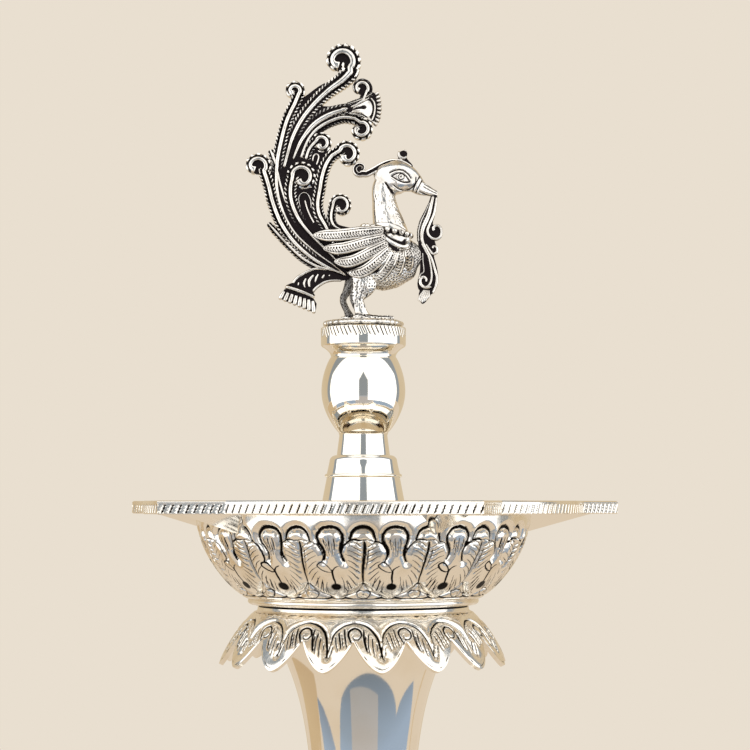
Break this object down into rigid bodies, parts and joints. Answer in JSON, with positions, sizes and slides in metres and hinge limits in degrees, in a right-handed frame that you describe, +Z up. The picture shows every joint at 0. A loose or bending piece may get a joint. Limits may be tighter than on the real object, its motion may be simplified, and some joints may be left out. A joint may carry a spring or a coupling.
{
  "type": "aarti lamp",
  "caption": "Standing silver oil lamp: domed foot, slender column, five-spouted oil bowl with a leaf skirt, and a peacock finial on a baluster stem.",
  "frame": {"origin": "centre of the flat underside of the foot, on the lamp's axis", "axes": "+Z up along the lamp's axis, the peacock looks towards +X, and the picture's camera looks along +Y"},
  "size_m": [0.1245, 0.1234, 0.3659],
  "materials": {
    "polished_silver": "mirror polish",
    "chased_silver": "chased, with darkened grooves",
    "cast_silver": "cast and chased, oxidised in its hollows",
    "plain_steel": "threaded rod",
    "washer_leather": "cut leather",
    "plaster": "cast filling"
  },
  "bodies": {
    "pedestal": {"base_cover": "polished_silver", "foot_band": "chased_silver", "base_dome": "chased_silver", "ballast": "plaster", "base_nut": "plain_steel", "base_nut_washer": "plain_steel", "centre_rod": "plain_steel", "base_ring": "polished_silver", "lower_column": "polished_silver", "knop_lower_ring": "polished_silver", "knop": "polished_silver", "knop_upper_ring": "polished_silver", "upper_column": "polished_silver", "column_plug": "polished_silver"},
    "bowl_seal": {"bowl_washer": "washer_leather"},
    "bowl": {"hub": "polished_silver", "leaf_skirt": "chased_silver", "bowl_ring": "polished_silver", "bowl_shell": "chased_silver", "oil_dish": "polished_silver", "top_plate": "polished_silver", "rim_band": "chased_silver", "wick_spouts": "polished_silver"},
    "stem_seal": {"stem_washer": "washer_leather"},
    "stem": {"stem_rod": "plain_steel", "stem_cone": "polished_silver", "stem_ring": "polished_silver", "stem_collar": "polished_silver", "stem_bulb": "polished_silver", "stem_cap": "polished_silver"},
    "finial_seal": {"finial_washer": "washer_leather"},
    "finial": {"finial_stud": "plain_steel", "perch": "cast_silver", "bird_legs": "cast_silver", "bird_body": "cast_silver", "bird_tail": "cast_silver", "left_wing": "cast_silver", "right_wing": "cast_silver", "collar_beads": "cast_silver", "crest": "cast_silver", "beak_garland": "cast_silver", "rump_tassel": "cast_silver"}
  },
  "joints": [
    {"name": "bowl_lift", "type": "slide", "parent": "pedestal", "child": "bowl_seal", "axis": [0, 0, 1], "range_m": [0, 0.00863]},
    {"name": "bowl_turn", "type": "hinge", "parent": "bowl_seal", "child": "bowl", "pos_m": [0, 0, 0.2229], "axis": [0, 0, 1], "range_deg": [0, 2071]},
    {"name": "stem_lift", "type": "slide", "parent": "bowl", "child": "stem_seal", "axis": [0, 0, 1], "range_m": [0, 0.00975]},
    {"name": "stem_turn", "type": "hinge", "parent": "stem_seal", "child": "stem", "pos_m": [0, 0, 0.2437], "axis": [0, 0, 1], "range_deg": [0, 2341]},
    {"name": "finial_lift", "type": "slide", "parent": "stem", "child": "finial_seal", "axis": [0, 0, 1], "range_m": [0, 0.00725]},
    {"name": "finial_turn", "type": "hinge", "parent": "finial_seal", "child": "finial", "pos_m": [0, 0, 0.2944], "axis": [0, 0, 1], "range_deg": [0, 2611]}
  ],
  "couplings": [
    {"joint": "bowl_turn", "follows": "bowl_lift", "rad_per_m": 4188.8},
    {"joint": "stem_turn", "follows": "stem_lift", "rad_per_m": 4188.8},
    {"joint": "finial_turn", "follows": "finial_lift", "rad_per_m": 6283.2}
  ]
}
